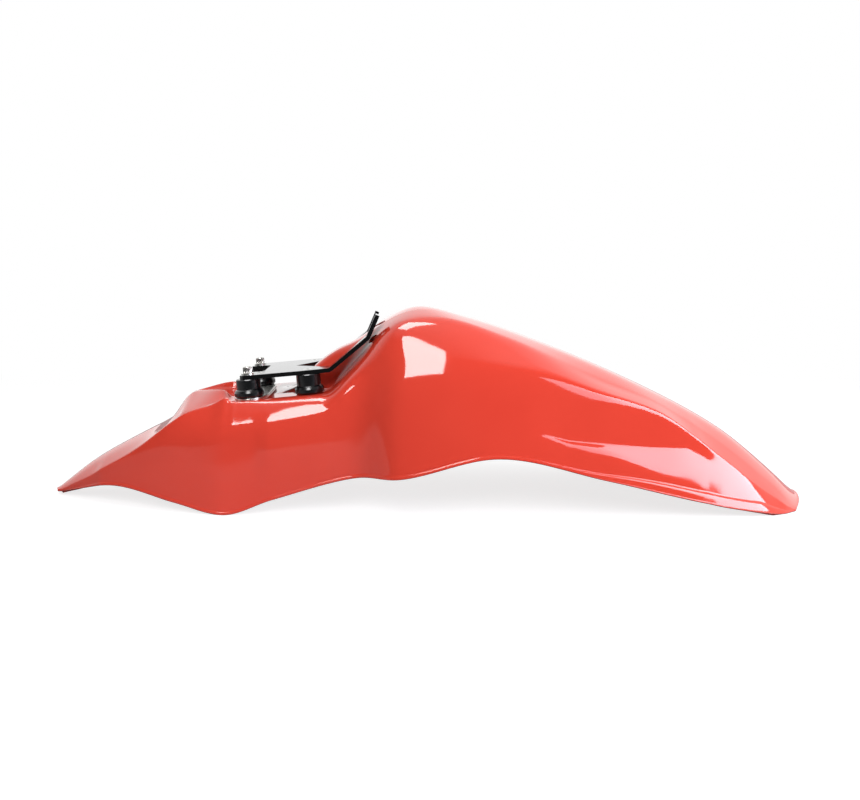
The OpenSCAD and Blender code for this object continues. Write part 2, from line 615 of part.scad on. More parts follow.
// Length of a shank below the plate: mount, shell, washer, nut and a stub.
shank_below = mount_h + under_washer_base + nut_h + screw_out;
module hexagon(af, h) {
    cylinder(d = af / cos(30), h = h, $fn = 6);
}
module socket_screw() {
    seat = mount_h + plate + washer_t;
    rim = seat + head_h - head_chamfer;
    color("lightgray")
    difference() {
        union() {
            translate([0, 0, mount_h - shank_below])
                cylinder(d = screw_d, h = shank_below + plate + washer_t, $fn = 32);
            translate([0, 0, seat]) cylinder(d = head_d, h = head_h - head_chamfer, $fn = 48);
            translate([0, 0, rim])
                cylinder(d1 = head_d, d2 = head_d - 2 * head_chamfer, h = head_chamfer, $fn = 48);
        }
        translate([0, 0, seat + head_h - socket_deep]) hexagon(socket_af, socket_deep + 1);
    }
}
module flat_screw() {
    top = mount_h + plate;
    color("lightgray")
    difference() {
        union() {
            translate([0, 0, mount_h - shank_below])
                cylinder(d = screw_d, h = shank_below + plate - flat_head_h, $fn = 32);
            translate([0, 0, top - flat_head_h])
                cylinder(d1 = screw_d, d2 = flat_head_d, h = flat_head_h, $fn = 48);
        }
        translate([0, 0, top - socket_deep]) hexagon(socket_af, socket_deep + 1);
    }
}
// Lock nut with a round collar, under the shell.
module nut() {
    collar_h = 0.28 * nut_h;
    color("silver")
    translate([0, 0, -under_washer_base - nut_h]) difference() {
        union() {
            translate([0, 0, collar_h]) hexagon(nut_af, nut_h - collar_h);
            cylinder(d = 0.88 * nut_af, h = nut_h, $fn = 32);
        }
        translate([0, 0, -1]) screw_hole(nut_h + 2);
    }
}

mudguard_shell();
mounting_bracket();
at_mount(0, LEFT) rubber_mount(strap_t);  // rubber_mount_rear_left
at_mount(0, RIGHT) rubber_mount(strap_t);  // rubber_mount_rear_right
at_mount(1, LEFT) rubber_mount(0);  // rubber_mount_front_left
at_mount(1, RIGHT) rubber_mount(0);  // rubber_mount_front_right
at_mount(0, LEFT) sleeve(strap_t);  // sleeve_rear_left
at_mount(0, RIGHT) sleeve(strap_t);  // sleeve_rear_right
at_mount(1, LEFT) sleeve(0);  // sleeve_front_left
at_mount(1, RIGHT) sleeve(0);  // sleeve_front_right
rear_strap();
at_mount(0, LEFT) top_washer();  // top_washer_left
at_mount(0, RIGHT) top_washer();  // top_washer_right
at_mount(0, LEFT) socket_screw();  // socket_screw_left
at_mount(0, RIGHT) socket_screw();  // socket_screw_right
at_mount(1, LEFT) flat_screw();  // flat_screw_left
at_mount(1, RIGHT) flat_screw();  // flat_screw_right
at_mount(0, LEFT) under_washer();  // under_washer_rear_left
at_mount(0, RIGHT) under_washer();  // under_washer_rear_right
at_mount(1, LEFT) under_washer();  // under_washer_front_left
at_mount(1, RIGHT) under_washer();  // under_washer_front_right
at_mount(0, LEFT) nut();  // nut_rear_left
at_mount(0, RIGHT) nut();  // nut_rear_right
at_mount(1, LEFT) nut();  // nut_front_left
at_mount(1, RIGHT) nut();  // nut_front_right
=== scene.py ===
# %% [markdown]
# # A motorcycle front mudguard in a photographer's studio
# The object is a high, off-road front mudguard that lies on a white floor.
# Its shell is moulded plastic, and a bent steel bracket stands on it on four rubber mounts.
# The imported model gives every piece its place, and this script gives each one its finish.
# The first cell loads that model and keeps the record that comes with it.

# %% Load the imported model
import json
import math

import bmesh
import bpy
import numpy as np
from mathutils import Matrix, Vector


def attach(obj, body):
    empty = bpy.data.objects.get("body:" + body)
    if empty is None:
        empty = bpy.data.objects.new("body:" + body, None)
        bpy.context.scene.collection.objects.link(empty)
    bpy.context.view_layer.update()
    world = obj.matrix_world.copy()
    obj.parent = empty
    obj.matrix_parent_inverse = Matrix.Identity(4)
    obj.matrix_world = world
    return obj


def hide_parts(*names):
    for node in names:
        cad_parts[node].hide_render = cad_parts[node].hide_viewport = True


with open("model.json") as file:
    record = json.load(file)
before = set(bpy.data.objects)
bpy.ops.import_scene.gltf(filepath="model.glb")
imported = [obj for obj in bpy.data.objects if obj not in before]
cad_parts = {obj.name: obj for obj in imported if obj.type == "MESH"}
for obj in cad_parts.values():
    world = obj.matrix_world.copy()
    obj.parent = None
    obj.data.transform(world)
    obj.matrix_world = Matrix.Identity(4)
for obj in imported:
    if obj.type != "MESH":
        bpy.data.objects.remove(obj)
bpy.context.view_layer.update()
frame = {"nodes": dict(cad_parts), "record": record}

MM = 0.001
scene = bpy.context.scene
scene.view_settings.view_transform = "Standard"

# %% [markdown]
# ## Colours and nodes
# Colours are written as sRGB hex, the way a paint chart gives them.
# Blender computes in linear light, so one function turns each value to linear.
# A second small function adds a shader node with its settings and its links.


# %% Colour and node helpers
def linear(hex_colour):
    parts = [int(hex_colour[i:i + 2], 16) / 255 for i in (1, 3, 5)]
    return [c / 12.92 if c <= 0.04045 else ((c + 0.055) / 1.055) ** 2.4 for c in parts] + [1.0]


def add_node(tree, kind, settings=None, **links):
    """Adds a node. Settings are its own options, links are its inputs by name with _ for a space."""
    node = tree.nodes.new(kind)
    for name, value in (settings or {}).items():
        setattr(node, name, value)
    for name, value in links.items():
        key = int(name[2:]) if name.startswith("in") and name[2:].isdigit() else name.replace("_", " ")
        socket = node.inputs[key]
        if isinstance(value, bpy.types.NodeSocket):
            tree.links.new(value, socket)
        else:
            socket.default_value = value
    return node


def new_material(name, **surface):
    """A material with one Principled shader, whose own sockets are set here."""
    material = bpy.data.materials.new(name)
    material.use_nodes = True
    shader = material.node_tree.nodes["Principled BSDF"]
    for key, value in surface.items():
        shader.inputs[key.replace("_", " ")].default_value = value
    return material, material.node_tree, shader


# %% [markdown]
# ## The camera
# The photograph looks level along the part, from a little above its crown.
# Its frame is shifted and not turned, because every upright edge in it stays upright.
# The lens and the shift come from where the origin and the horizon lie in the 860 x 800 picture.

# %% Camera
PHOTO_W, PHOTO_H = 860, 800
AXIS_PX, HORIZON_PX = 377, 275
PIXELS_PER_UNIT = 770
EYE = Vector((-49, -770, 217.5)) * MM
camera_data = bpy.data.cameras.new("studio_camera")
camera_data.sensor_width = 36
camera_data.lens = 36 * PIXELS_PER_UNIT / PHOTO_W
camera_data.shift_x = (PHOTO_W / 2 - AXIS_PX) / PHOTO_W
camera_data.shift_y = -(PHOTO_H / 2 - HORIZON_PX) / PHOTO_W
camera_data.clip_start = 0.05
camera = bpy.data.objects.new("studio_camera", camera_data)
camera.location = EYE
camera.rotation_euler = (math.pi / 2, 0, 0)
scene.collection.objects.link(camera)
scene.camera = camera
shift = round(camera_data.shift_x, 4), round(camera_data.shift_y, 4)
print("lens", round(camera_data.lens, 2), "mm, shift", shift)

# %% [markdown]
# ## The studio
# The floor is white paper that runs on behind the part until it is only white.
# It takes part of its white from its own glow, so that lamps light the part and not the paper,
# and the rest from the lamps, so that it keeps the part's soft shadow.
# A mirror sees less of that glow, because the real paper is not as bright as its picture,
# and it sees the dim room where the table ends, half a metre in front of the part.
# The room is white behind the part and dim behind the photographer, as in a real studio,
# and that is what the gloss of the shell shows between its highlights.
# Most of the light on the part's colours comes from the lamps, so the room gives them only a share.

# %% Floor paper
FLOOR_GLOW, MIRRORED_GLOW = 0.78, 0.14
PAPER_ENDS, ONLY_WHITE = 0.5, 1.2
TABLE_ENDS, ALL_DARK = -0.42, -0.6
ROOM_LIGHT = 0.4
floor_material, tree, shader = new_material("studio_paper", Roughness=1.0, Specular_IOR_Level=0.0)
shader.inputs["Base Color"].default_value = linear("#a2a2a2")
place = add_node(tree, "ShaderNodeNewGeometry")
distance = add_node(tree, "ShaderNodeVectorMath", {"operation": "LENGTH"}, in0=place.outputs["Position"])
fade = add_node(tree, "ShaderNodeMapRange",
                Value=distance.outputs["Value"], From_Min=PAPER_ENDS, From_Max=ONLY_WHITE)
rays = add_node(tree, "ShaderNodeLightPath")
clear = add_node(tree, "ShaderNodeMath", {"operation": "MAXIMUM"},
                 in0=rays.outputs["Is Camera Ray"], in1=rays.outputs["Is Transmission Ray"])
mirrored = add_node(tree, "ShaderNodeMath", {"operation": "MULTIPLY"},
                    in0=rays.outputs["Is Glossy Ray"], in1=MIRRORED_GLOW / FLOOR_GLOW)
seen = add_node(tree, "ShaderNodeMath", {"operation": "MAXIMUM"},
                in0=clear.outputs[0], in1=mirrored.outputs[0])
glow_level = add_node(tree, "ShaderNodeMath", {"operation": "MULTIPLY"}, in0=seen.outputs[0], in1=FLOOR_GLOW)
glow = add_node(tree, "ShaderNodeEmission", Color=linear("#ffffff"), Strength=glow_level.outputs[0])
near = add_node(tree, "ShaderNodeAddShader", in0=shader.outputs[0], in1=glow.outputs[0])
white = add_node(tree, "ShaderNodeEmission", Color=linear("#ffffff"), Strength=1.0)
far_off = add_node(tree, "ShaderNodeMath", {"operation": "MULTIPLY"},
                   in0=fade.outputs[0], in1=seen.outputs[0])
paper = add_node(tree, "ShaderNodeMixShader",
                 Fac=far_off.outputs[0], in1=near.outputs[0], in2=white.outputs[0])
axes = add_node(tree, "ShaderNodeSeparateXYZ", Vector=place.outputs["Position"])
past_table = add_node(tree, "ShaderNodeMapRange", {"interpolation_type": "SMOOTHSTEP"},
                      Value=axes.outputs["Y"], From_Min=TABLE_ENDS, From_Max=ALL_DARK)
mirrored_end = add_node(tree, "ShaderNodeMath", {"operation": "MULTIPLY"},
                        in0=past_table.outputs[0], in1=rays.outputs["Is Glossy Ray"])
dim = add_node(tree, "ShaderNodeEmission", Color=linear("#ffffff"), Strength=0.1)
floor_look = add_node(tree, "ShaderNodeMixShader",
                      Fac=mirrored_end.outputs[0], in1=paper.outputs[0], in2=dim.outputs[0])
tree.links.new(floor_look.outputs[0], tree.nodes["Material Output"].inputs["Surface"])
print("floor: paper that ends", -TABLE_ENDS, "m in front of the part in mirrors")

# %% Floor
FLOOR_REACH = 30.0
floor_mesh = bpy.data.meshes.new("floor")
corners = [(x * FLOOR_REACH, y * FLOOR_REACH, 0) for x, y in ((-1, -1), (1, -1), (1, 1), (-1, 1))]
floor_mesh.from_pydata(corners, [], [(0, 1, 2, 3)])
floor = bpy.data.objects.new("floor", floor_mesh)
floor_mesh.materials.append(floor_material)
scene.collection.objects.link(floor)
print("floor reaches", FLOOR_REACH, "m to each side")

# %% Room
world = bpy.data.worlds.new("studio_room")
world.use_nodes = True
scene.world = world
tree = world.node_tree
room = tree.nodes["Background"]
direction = add_node(tree, "ShaderNodeTexCoord")
axes = add_node(tree, "ShaderNodeSeparateXYZ", Vector=direction.outputs["Generated"])
# The photographer's side of the room is dim up to about 50 degrees above the floor.
back_side = add_node(tree, "ShaderNodeMapRange", {"interpolation_type": "SMOOTHSTEP"},
                     Value=axes.outputs["Y"], From_Min=-0.45, From_Max=0.25, To_Min=0.1, To_Max=1.4)
overhead = add_node(tree, "ShaderNodeMapRange", {"interpolation_type": "SMOOTHSTEP"},
                    Value=axes.outputs["Z"], From_Min=0.6, From_Max=0.95, To_Min=0.0, To_Max=1.2)
gloss_level = add_node(tree, "ShaderNodeMath", {"operation": "MAXIMUM"},
                       in0=back_side.outputs[0], in1=overhead.outputs[0])
rays = add_node(tree, "ShaderNodeLightPath")
mirrored = add_node(tree, "ShaderNodeMath", {"operation": "MAXIMUM"},
                    in0=rays.outputs["Is Glossy Ray"], in1=rays.outputs["Is Transmission Ray"])
soft_level = add_node(tree, "ShaderNodeMath", {"operation": "MULTIPLY"},
                      in0=gloss_level.outputs[0], in1=ROOM_LIGHT)
lit = add_node(tree, "ShaderNodeMix",
               Factor=mirrored.outputs[0], A=soft_level.outputs[0], B=gloss_level.outputs[0])
shown = add_node(tree, "ShaderNodeMix", Factor=rays.outputs["Is Camera Ray"], A=lit.outputs[0], B=1.0)
tree.links.new(shown.outputs[0], room.inputs["Strength"])
room.inputs["Color"].default_value = linear("#ffffff")
print("room: white behind the part, dim in front, and", ROOM_LIGHT, "of it lights colours")

# %% [markdown]
# ## The lamps
# A glossy shell is lit by what it mirrors, so each lamp is a softbox with a real size.
# A glossy plastic mirrors only about 4 percent of what faces it, so a box has to be
# some seventeen times brighter than paper to show as a pale patch on red.
# A share of that brightness is kept for mirrors alone, or the boxes would light the red too brightly.
# The lamp with that share hangs 1 cm nearer, so that the first one doesn't cover it.
# The long box beside the nose is dimmer at its far end, and so is the streak that it leaves there.
# It gains its full brightness over 60 percent of its length.


# %% Softboxes
NEARER, FULL_AT = 0.01, 0.6


def softbox(name, centre, aim, width, height, brightness, mirrored=0.0, ends=None, colour="#ffffff"):
    """A rectangular lamp. Its face has a brightness of 1 where it is as bright as white paper."""
    forward = (Vector(aim) - Vector(centre)).normalized()
    for part, level, shift in ((name, brightness, 0.0), (name + "_in_mirrors", mirrored, NEARER)):
        data = bpy.data.lights.new(part, "AREA")
        data.shape = "RECTANGLE"
        data.size = width
        data.size_y = height
        data.energy = level * math.pi * width * height
        data.color = linear(colour)[:3]
        if ends:
            data.use_nodes = True
            tree = data.node_tree
            place = add_node(tree, "ShaderNodeNewGeometry")
            axes = add_node(tree, "ShaderNodeSeparateXYZ", Vector=place.outputs["Parametric"])
            fall = add_node(tree, "ShaderNodeMapRange", {"interpolation_type": "SMOOTHSTEP"},
                            Value=axes.outputs["X"], From_Max=FULL_AT, To_Min=ends[0], To_Max=ends[1])
            tree.links.new(fall.outputs[0], tree.nodes["Emission"].inputs["Strength"])
        lamp = bpy.data.objects.new(part, data)
        lamp.location = Vector(centre) + shift * forward
        lamp.rotation_euler = forward.to_track_quat("-Z", "Y").to_euler()
        lamp.visible_diffuse = shift == 0
        scene.collection.objects.link(lamp)


softbox("front_box", (-0.28, -1.25, 1.0), (0.0, 0.0, 0.1), 0.58, 0.74, 11.5, mirrored=6.0)
softbox("nose_box", (1.35, -0.85, 0.66), (0.2, 0.0, 0.05), 1.6, 0.56, 11.5, mirrored=2.0,
        ends=(0.4, 1.12), colour="#f2f1ff")
softbox("top_box", (-0.3, -0.25, 1.35), (-0.02, -0.06, 0.17), 0.6, 0.5, 1.0, mirrored=15.0)

# %% [markdown]
# ## The plastic
# The shell is injection moulded polypropylene, coloured right through.
# The polished mould leaves its outside glossy, with the faintest waviness, and no coat of paint.
# The pigment flows with the melt, so the red varies a little over some 60 mm.
# Its refractive index is 1.49, which gives the 4 percent mirror that the studio shows in.
# The inside of the mould is only machined, so the underside is satin.

# %% Moulded polypropylene
WAVINESS_MM, FLOW_MM, GRAIN_MM = 9.0, 60.0, 0.9
gloss_red, tree, shader = new_material("moulded_polypropylene_gloss", Roughness=0.06, IOR=1.49)
place = add_node(tree, "ShaderNodeTexCoord")
flow = add_node(tree, "ShaderNodeTexNoise",
                Vector=place.outputs["Object"], Scale=1 / (FLOW_MM * MM), Detail=2.0)
tint = add_node(tree, "ShaderNodeMix", {"data_type": "RGBA"}, Factor=flow.outputs["Fac"])
tint.inputs["A"].default_value = linear("#d03c2c")
tint.inputs["B"].default_value = linear("#d64231")
tree.links.new(tint.outputs["Result"], shader.inputs["Base Color"])
waves = add_node(tree, "ShaderNodeTexNoise",
                 Vector=place.outputs["Object"], Scale=1 / (WAVINESS_MM * MM), Detail=1.0)
skin = add_node(tree, "ShaderNodeBump", Strength=0.3, Distance=0.03 * MM, Height=waves.outputs["Fac"])
tree.links.new(skin.outputs[0], shader.inputs["Normal"])

satin_red, tree, shader = new_material("moulded_polypropylene_satin", Roughness=0.42, IOR=1.49)
shader.inputs["Base Color"].default_value = linear("#cd3b2b")
place = add_node(tree, "ShaderNodeTexCoord")
grain = add_node(tree, "ShaderNodeTexNoise",
                 Vector=place.outputs["Object"], Scale=1 / (GRAIN_MM * MM), Detail=2.0)
rough = add_node(tree, "ShaderNodeBump", Strength=0.25, Distance=0.05 * MM, Height=grain.outputs["Fac"])
tree.links.new(rough.outputs[0], shader.inputs["Normal"])
print("plastics:", gloss_red.name, "and", satin_red.name)

# %% [markdown]
# ## Steel and rubber
# The bracket is pressed from 4 mm steel and powder coated black.
# Powder melts into a skin with a faint orange peel, so it is dark head on and pale when seen edge on.
# The rubber mounts are moulded nitrile, a shade less glossy, with a bloom that dulls them in patches.

# %% Powder coat and rubber
PEEL_MM, BLOOM_MM = 1.4, 5.0
powder_black, tree, shader = new_material("powder_coated_steel", Roughness=0.13, IOR=1.54)
shader.inputs["Base Color"].default_value = linear("#050607")
place = add_node(tree, "ShaderNodeTexCoord")
peel = add_node(tree, "ShaderNodeTexNoise",
                Vector=place.outputs["Object"], Scale=1 / (PEEL_MM * MM), Detail=1.5)
peel_bump = add_node(tree, "ShaderNodeBump", Strength=0.15, Distance=0.02 * MM, Height=peel.outputs["Fac"])
tree.links.new(peel_bump.outputs[0], shader.inputs["Normal"])

nitrile_black, tree, shader = new_material("moulded_nitrile_rubber", IOR=1.5)
shader.inputs["Base Color"].default_value = linear("#060709")
place = add_node(tree, "ShaderNodeTexCoord")
bloom = add_node(tree, "ShaderNodeTexNoise",
                 Vector=place.outputs["Object"], Scale=1 / (BLOOM_MM * MM), Detail=3.0)
dull = add_node(tree, "ShaderNodeMapRange", Value=bloom.outputs["Fac"], To_Min=0.17, To_Max=0.28)
tree.links.new(dull.outputs[0], shader.inputs["Roughness"])
print("blacks:", powder_black.name, "and", nitrile_black.name)

# %% [markdown]
# ## Bright metal
# Strap, washers, sleeves and nuts are zinc plated: the plate's crystals make it duller in spots.
# The screws are turned stainless steel, with fine rings across their length from the tool.

# %% Zinc and stainless steel
SPANGLE_MM, TURNING_MM = 2.5, 0.35
zinc, tree, shader = new_material("bright_zinc_plate", Metallic=1.0)
shader.inputs["Base Color"].default_value = linear("#cfd0cc")
place = add_node(tree, "ShaderNodeTexCoord")
spangle = add_node(tree, "ShaderNodeTexNoise",
                   Vector=place.outputs["Object"], Scale=1 / (SPANGLE_MM * MM), Detail=2.0)
patchy = add_node(tree, "ShaderNodeMapRange", Value=spangle.outputs["Fac"], To_Min=0.2, To_Max=0.38)
tree.links.new(patchy.outputs[0], shader.inputs["Roughness"])

stainless, tree, shader = new_material("turned_stainless_steel", Metallic=1.0, Roughness=0.22)
shader.inputs["Base Color"].default_value = linear("#a3a19c")
place = add_node(tree, "ShaderNodeTexCoord")
stretched = add_node(tree, "ShaderNodeMapping", Vector=place.outputs["Object"])
stretched.inputs["Scale"].default_value = (60, 60, 1 / (TURNING_MM * MM))
marks = add_node(tree, "ShaderNodeTexNoise", Vector=stretched.outputs[0], Scale=1.0, Detail=1.0)
turning = add_node(tree, "ShaderNodeBump", Strength=0.2, Distance=0.02 * MM, Height=marks.outputs["Fac"])
tree.links.new(turning.outputs[0], shader.inputs["Normal"])
print("metals:", zinc.name, "and", stainless.name)

# %% [markdown]
# ## The shell's guide lines
# A moulded shell is drawn as a loft: a few long lines run from tail to nose, and a cross section
# is stretched between them at each station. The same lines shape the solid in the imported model.
# Here they are followed far more finely, because gloss shows every flat facet.
# Each line is a list of [place, value] knots in millimetres, joined by a curve without overshoot.

# %% Sizes of the shell in millimetres
REAR, FRONT = 368.0, 368.0
SEAT, CHANNEL, CROWN = 188.0, 60.0, 8.0
CROWN_H, DECK_H, HUMP_H, TAIL_H, ARCH_H = 187.5, 100.5, 108.0, 4.5, 57.0
FRONT_W, LOBE_W, NOSE_W, TAIL_W = 101.0, 74.0, 61.0, 8.0
NOSE_ROUND, TAIL_ROUND = 31.0, 3.0
WALL, LIP_H, LIP_OUT, LOBE_RISE = 3.0, 8.0, 1.2, 5.5
RIDGE_GAP, HUMP_W, POCKET_LEN, POCKET_DEEP, STEP_LEN = 29.0, 58.0, 41.0, 6.0, 8.0
BULGE_W, TOP_W = 15.0, 30.0
TILT = math.radians(5)
REAR_MOUNT, MOUNT_PITCH, MOUNT_GAP = 169.5, 57.0, 40.0
FOOT_D, BULGE_CLEAR = 28.0, 1.5


def tail_x(f): return -SEAT - f * (REAR - SEAT)
def seat_x(f): return -SEAT + f * (SEAT - CHANNEL)
def crest_x(f): return -CHANNEL + f * (CHANNEL - CROWN)
def front_x(f): return -CROWN + f * (CROWN + FRONT)
def tail_h(f): return TAIL_H + f * (DECK_H - TAIL_H)
def rise_h(f): return DECK_H + f * (CROWN_H - DECK_H)
def deck_z(x): return DECK_H + (x + REAR_MOUNT) * math.tan(TILT)
def mix(a, b, t): return a + (b - a) * t
def arm_x(f): return mix(FRONT_MOUNT, ARM_HOLE_X, f)
def arm_h(f): return DECK_H + f * (ARM_HOLE_H - DECK_H)


FRONT_MOUNT = -REAR_MOUNT + MOUNT_PITCH * math.cos(TILT)
arm_hole = [mount for mount in frame["record"]["mounts"] if mount["name"] == "arm_hole_left"][0]
ARM_HOLE_X, ARM_HOLE_H = arm_hole["pos_m"][0] / MM, arm_hole["pos_m"][2] / MM
deck_front = FRONT_MOUNT + FOOT_D / 2 + 2
deck_back = -SEAT + 1
pocket_tip = -SEAT - POCKET_LEN
pocket_lead = pocket_tip - 7
ridge_end = -SEAT - STEP_LEN
tip_h = HUMP_H - POCKET_DEEP
lead_h = tip_h - 4
bulge_foot = MOUNT_GAP - FOOT_D / 2 - BULGE_CLEAR
print("deck from", round(deck_back, 1), "to", round(deck_front, 1), "mm, arm holes at", round(ARM_HOLE_H, 1))

# %% [markdown]
# ## Heights along the part
# The spine is the line that the eye reads as the outline: tail, hump, pocket, deck, crown and nose.
# The shoulder is where the top turns into the side, the crease runs along the side,
# and the edge is the rim, whose two low places are the only ones that touch the floor.

# %% Heights of spine, shoulder, crease and edge
spine_z = [
    [tail_x(1), TAIL_H], [tail_x(0.77), tail_h(0.332)], [tail_x(0.5), tail_h(0.611)],
    [tail_x(0.33), tail_h(0.78)], [pocket_lead, lead_h], [pocket_tip, tip_h],
    [ridge_end, deck_z(-SEAT) + WALL / 3], [deck_back, deck_z(deck_back)],
    [seat_x(0.3), deck_z(seat_x(0.3))], [seat_x(0.445), deck_z(seat_x(0.445)) + 3],
    [arm_x(0.09), arm_h(0.439)], [arm_x(0.45), arm_h(0.649)], [arm_x(0.725), arm_h(0.752)],
    [arm_x(0.96), arm_h(0.9)], [arm_x(1.09), arm_h(0.992)], [crest_x(0.71), rise_h(0.954)],
    [-CROWN, CROWN_H], [front_x(0.12), 0.947 * CROWN_H], [front_x(0.343), 0.792 * CROWN_H],
    [front_x(0.6), 0.568 * CROWN_H], [front_x(0.79), 0.36 * CROWN_H],
    [front_x(0.918), 0.152 * CROWN_H], [front_x(0.981), 0.035 * CROWN_H], [front_x(1), 1.5]]
shoulder_z = [
    [tail_x(1), TAIL_H], [tail_x(0.51), tail_h(0.487)], [tail_x(0.21), tail_h(0.884)],
    [tail_x(0.08), tail_h(0.965)], [tail_x(0), deck_z(-SEAT) + LOBE_RISE],
    [deck_back + 3, deck_z(deck_back + 3) + 0.5], [seat_x(0.15), deck_z(seat_x(0.15))],
    [seat_x(0.4), deck_z(seat_x(0.4))], [deck_front - 6, deck_z(deck_front - 6)],
    [deck_front, deck_z(deck_front)], [arm_x(0.386), arm_h(0.15)], [arm_x(0.577), arm_h(0.31)],
    [arm_x(0.842), arm_h(0.54)], [arm_x(1), arm_h(0.71)], [crest_x(0.4), rise_h(0.75)],
    [crest_x(0.71), rise_h(0.85)], [front_x(0.04), 0.945 * CROWN_H],
    [front_x(0.22), 0.84 * CROWN_H], [front_x(0.44), 0.635 * CROWN_H],
    [front_x(0.57), 0.535 * CROWN_H], [front_x(0.687), 0.395 * CROWN_H],
    [front_x(0.772), 0.286 * CROWN_H], [front_x(0.872), 0.148 * CROWN_H],
    [front_x(0.95), 0.052 * CROWN_H], [front_x(1), 1]]
crease_z = [
    [tail_x(1), TAIL_H - 0.8], [tail_x(0.51), tail_h(0.33)], [tail_x(0), tail_h(0.55)],
    [seat_x(0.8), tail_h(0.68)], [crest_x(0.2), 0.52 * CROWN_H], [crest_x(0.6), 0.64 * CROWN_H],
    [front_x(0.07), 0.71 * CROWN_H], [front_x(0.226), 0.708 * CROWN_H],
    [front_x(0.433), 0.595 * CROWN_H], [front_x(0.57), 0.5 * CROWN_H],
    [front_x(0.687), 0.338 * CROWN_H], [front_x(0.772), 0.23 * CROWN_H],
    [front_x(0.872), 0.103 * CROWN_H], [front_x(0.95), 0.041 * CROWN_H], [front_x(1), 0.6]]
edge_z = [
    [tail_x(1), TAIL_H - 1.5], [tail_x(0.59), 0.333 * ARCH_H], [tail_x(0.26), 0.153 * ARCH_H],
    [tail_x(0), 0], [seat_x(0.336), 0.228 * ARCH_H], [seat_x(1), 0.604 * ARCH_H],
    [crest_x(0.52), 0.642 * ARCH_H], [front_x(0.173), ARCH_H], [front_x(0.43), 0.637 * ARCH_H],
    [front_x(0.75), 0.153 * ARCH_H], [front_x(0.95), 0.6], [front_x(1), 0]]
print("shell from", tail_x(1), "to", front_x(1), "mm, crown at", CROWN_H, "mm")

# %% [markdown]
# ## Widths along the part
# The edge's line gives half the width. Crease and shoulder are shares of it, just below one,
# so the sides lean in a little towards the top, as a moulding must to leave its mould.

# %% Half widths of edge, crease and shoulder
edge_y = [
    [tail_x(1), TAIL_W], [tail_x(0.67), 0.54 * LOBE_W], [tail_x(0.2), 0.92 * LOBE_W],
    [tail_x(0), LOBE_W], [seat_x(0.6), 0.973 * LOBE_W], [seat_x(0.95), 0.973 * LOBE_W],
    [crest_x(0.52), 0.94 * FRONT_W], [front_x(0.12), FRONT_W],
    [front_x(0.42), 0.95 * FRONT_W], [front_x(0.75), 0.83 * FRONT_W],
    [front_x(0.95), 1.2 * NOSE_W], [front_x(1), NOSE_W]]
crease_share = [
    [tail_x(1), 0.99], [tail_x(0.6), 0.96], [tail_x(0), 0.94], [seat_x(0.2), 0.95],
    [seat_x(0.33), 0.99], [seat_x(0.6), 0.995], [seat_x(0.95), 0.97],
    [crest_x(0.52), 0.89], [front_x(0.2), 0.86], [front_x(0.42), 0.86], [front_x(0.56), 0.82],
    [front_x(0.68), 0.8], [front_x(0.9), 0.79], [front_x(1), 0.97]]
shoulder_share = [
    [tail_x(1), 0.97], [tail_x(0.4), 0.92], [tail_x(0), 0.78], [seat_x(0.2), 0.79],
    [seat_x(0.45), 0.82], [seat_x(0.65), 0.84], [seat_x(0.95), 0.82],
    [crest_x(0.52), 0.67], [front_x(0.05), 0.63], [front_x(0.6), 0.6], [front_x(0.9), 0.62],
    [front_x(1), 0.9]]
print("half width at most", FRONT_W, "mm")

# %% [markdown]
# ## Ridge, pocket and bulge
# On the hump two ridges stand beside a V-shaped pocket, which runs out on the deck.
# Between the arms of the bracket the same two lines carry the bulge that clears the tyre.
# The relief says how far these lines count: before and behind them the top is one plain crown.

# %% Ridge and foot lines
ridge_y = [
    [tail_x(1), 0.35 * TAIL_W], [tail_x(0.5), 0.4 * RIDGE_GAP], [pocket_lead, 0.28 * RIDGE_GAP],
    [pocket_tip, 0.2 * RIDGE_GAP], [ridge_end, RIDGE_GAP], [deck_back, RIDGE_GAP],
    [seat_x(0.4), 0.93 * BULGE_W], [arm_x(0.09), BULGE_W], [arm_x(0.725), 1.13 * BULGE_W],
    [arm_x(1), 0.7 * TOP_W], [crest_x(0.6), TOP_W], [front_x(0.2), TOP_W], [front_x(1), 0.4 * NOSE_W]]
ridge_z = [
    [tail_x(0.34), tail_h(0.77)], [pocket_lead, lead_h], [pocket_tip, tip_h],
    [ridge_end, HUMP_H], [deck_back, deck_z(deck_back)], [seat_x(0.15), deck_z(seat_x(0.15))],
    [seat_x(0.3), deck_z(seat_x(0.3))], [seat_x(0.445), deck_z(seat_x(0.445)) + 2.5],
    [arm_x(0.09), arm_h(0.41)], [arm_x(0.45), arm_h(0.628)], [arm_x(0.725), arm_h(0.727)],
    [arm_x(0.96), arm_h(0.876)], [arm_x(1.09), arm_h(0.976)], [crest_x(0.71), rise_h(0.94)],
    [-CROWN, rise_h(0.975)]]
foot_y = [
    [tail_x(1), 0.7 * TAIL_W], [tail_x(0.5), 0.55 * HUMP_W], [pocket_lead, 0.79 * HUMP_W],
    [pocket_tip, 0.95 * HUMP_W], [ridge_end, HUMP_W], [deck_back, 0.965 * HUMP_W],
    [seat_x(0.2), 0.69 * HUMP_W], [seat_x(0.4), bulge_foot], [deck_front - 4, bulge_foot],
    [arm_x(0.725), bulge_foot + 4], [arm_x(1), 1.2 * TOP_W], [crest_x(0.6), 1.6 * TOP_W],
    [front_x(0.2), 1.67 * TOP_W], [front_x(1), 0.75 * NOSE_W]]
